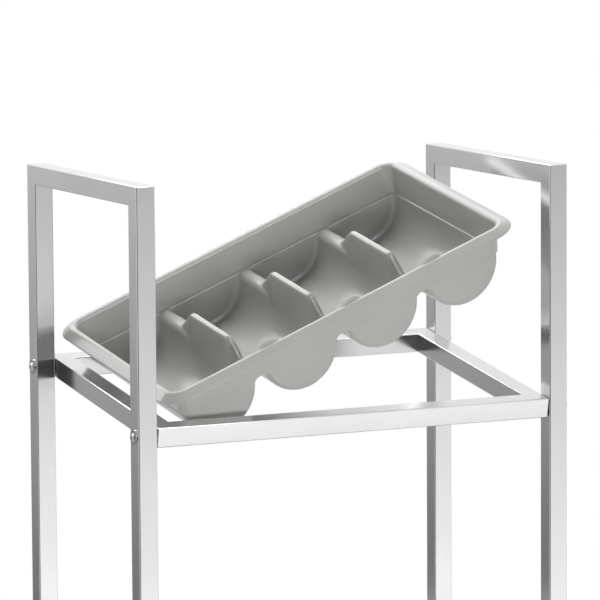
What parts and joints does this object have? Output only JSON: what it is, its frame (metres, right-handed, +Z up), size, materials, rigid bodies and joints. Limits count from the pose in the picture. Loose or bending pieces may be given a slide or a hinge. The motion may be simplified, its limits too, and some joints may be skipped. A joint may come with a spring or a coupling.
{
  "type": "cutlery trolley",
  "caption": "Square-tube trolley with push-handle side frames, a sloped frame holding a lifted cutlery tray with rounded troughs, a lower shelf and swivel castors.",
  "frame": {"origin": "on the floor, below the middle of the four posts", "axes": "+X to the right along the tray, +Y to the back, +Z up"},
  "size_m": [0.68, 0.3627, 1.042],
  "materials": {
    "tube_steel": "brushed along the tube",
    "sheet_steel": "brushed",
    "fastener_steel": "smooth",
    "zinc_steel": "bright zinc",
    "tray_plastic": "satin gloss",
    "plug_plastic": "fine grain",
    "wheel_plastic": "smooth",
    "tyre_rubber": "matte"
  },
  "bodies": {
    "trolley_frame": {"left_front_post": "tube_steel", "left_rear_post": "tube_steel", "left_handle": "tube_steel", "right_front_post": "tube_steel", "right_rear_post": "tube_steel", "right_handle": "tube_steel", "tray_frame_front": "tube_steel", "tray_frame_rear": "tube_steel", "tray_frame_left": "tube_steel", "tray_frame_right": "tube_steel", "shelf_frame_front": "tube_steel", "shelf_frame_rear": "tube_steel", "shelf_frame_left": "tube_steel", "shelf_frame_right": "tube_steel", "shelf_panel": "sheet_steel", "frame_screws": "fastener_steel", "screw_washers": "fastener_steel", "rivet_nuts": "zinc_steel", "left_front_plug": "plug_plastic", "left_front_swivel_pin": "zinc_steel", "left_rear_plug": "plug_plastic", "left_rear_swivel_pin": "zinc_steel", "right_front_plug": "plug_plastic", "right_front_swivel_pin": "zinc_steel", "right_rear_plug": "plug_plastic", "right_rear_swivel_pin": "zinc_steel"},
    "tray": {"cutlery_tray": "tray_plastic"},
    "left_front_castor": {"left_front_fork": "zinc_steel", "left_front_axle": "zinc_steel", "left_front_axle_nut": "zinc_steel", "left_front_pedal_pin": "zinc_steel"},
    "left_front_rolling_wheel": {"left_front_wheel": "wheel_plastic", "left_front_tyre": "tyre_rubber"},
    "left_front_brake": {"left_front_brake_pedal": "plug_plastic"},
    "left_rear_castor": {"left_rear_fork": "zinc_steel", "left_rear_axle": "zinc_steel", "left_rear_axle_nut": "zinc_steel", "left_rear_pedal_pin": "zinc_steel"},
    "left_rear_rolling_wheel": {"left_rear_wheel": "wheel_plastic", "left_rear_tyre": "tyre_rubber"},
    "left_rear_brake": {"left_rear_brake_pedal": "plug_plastic"},
    "right_front_castor": {"right_front_fork": "zinc_steel", "right_front_axle": "zinc_steel", "right_front_axle_nut": "zinc_steel"},
    "right_front_rolling_wheel": {"right_front_wheel": "wheel_plastic", "right_front_tyre": "tyre_rubber"},
    "right_rear_castor": {"right_rear_fork": "zinc_steel", "right_rear_axle": "zinc_steel", "right_rear_axle_nut": "zinc_steel"},
    "right_rear_rolling_wheel": {"right_rear_wheel": "wheel_plastic", "right_rear_tyre": "tyre_rubber"}
  },
  "joints": [
    {"name": "tray_tilt", "type": "hinge", "parent": "trolley_frame", "child": "tray", "pos_m": [-0.3202, -0.0045, 0.78772], "axis": [-0.142, 0.9897, 0.0153], "range_deg": [0, 22.8]},
    {"name": "left_front_swivel", "type": "hinge", "parent": "trolley_frame", "child": "left_front_castor", "pos_m": [-0.285, -0.1575, 0.095], "axis": [0, 0, 1], "continuous": true},
    {"name": "left_front_roll", "type": "hinge", "parent": "left_front_castor", "child": "left_front_rolling_wheel", "pos_m": [-0.313, -0.1575, 0.0375], "axis": [0, 1, 0], "continuous": true},
    {"name": "left_front_brake_press", "type": "hinge", "parent": "left_front_castor", "child": "left_front_brake", "pos_m": [-0.313, -0.1575, 0.0828], "axis": [0, -1, 0], "range_deg": [0, 8]},
    {"name": "left_rear_swivel", "type": "hinge", "parent": "trolley_frame", "child": "left_rear_castor", "pos_m": [-0.285, 0.1575, 0.095], "axis": [0, 0, 1], "continuous": true},
    {"name": "left_rear_roll", "type": "hinge", "parent": "left_rear_castor", "child": "left_rear_rolling_wheel", "pos_m": [-0.313, 0.1575, 0.0375], "axis": [0, 1, 0], "continuous": true},
    {"name": "left_rear_brake_press", "type": "hinge", "parent": "left_rear_castor", "child": "left_rear_brake", "pos_m": [-0.313, 0.1575, 0.0828], "axis": [0, -1, 0], "range_deg": [0, 8]},
    {"name": "right_front_swivel", "type": "hinge", "parent": "trolley_frame", "child": "right_front_castor", "pos_m": [0.285, -0.1575, 0.095], "axis": [0, 0, 1], "continuous": true},
    {"name": "right_front_roll", "type": "hinge", "parent": "right_front_castor", "child": "right_front_rolling_wheel", "pos_m": [0.257, -0.1575, 0.0375], "axis": [0, 1, 0], "continuous": true},
    {"name": "right_rear_swivel", "type": "hinge", "parent": "trolley_frame", "child": "right_rear_castor", "pos_m": [0.285, 0.1575, 0.095], "axis": [0, 0, 1], "continuous": true},
    {"name": "right_rear_roll", "type": "hinge", "parent": "right_rear_castor", "child": "right_rear_rolling_wheel", "pos_m": [0.257, 0.1575, 0.0375], "axis": [0, 1, 0], "continuous": true}
  ]
}
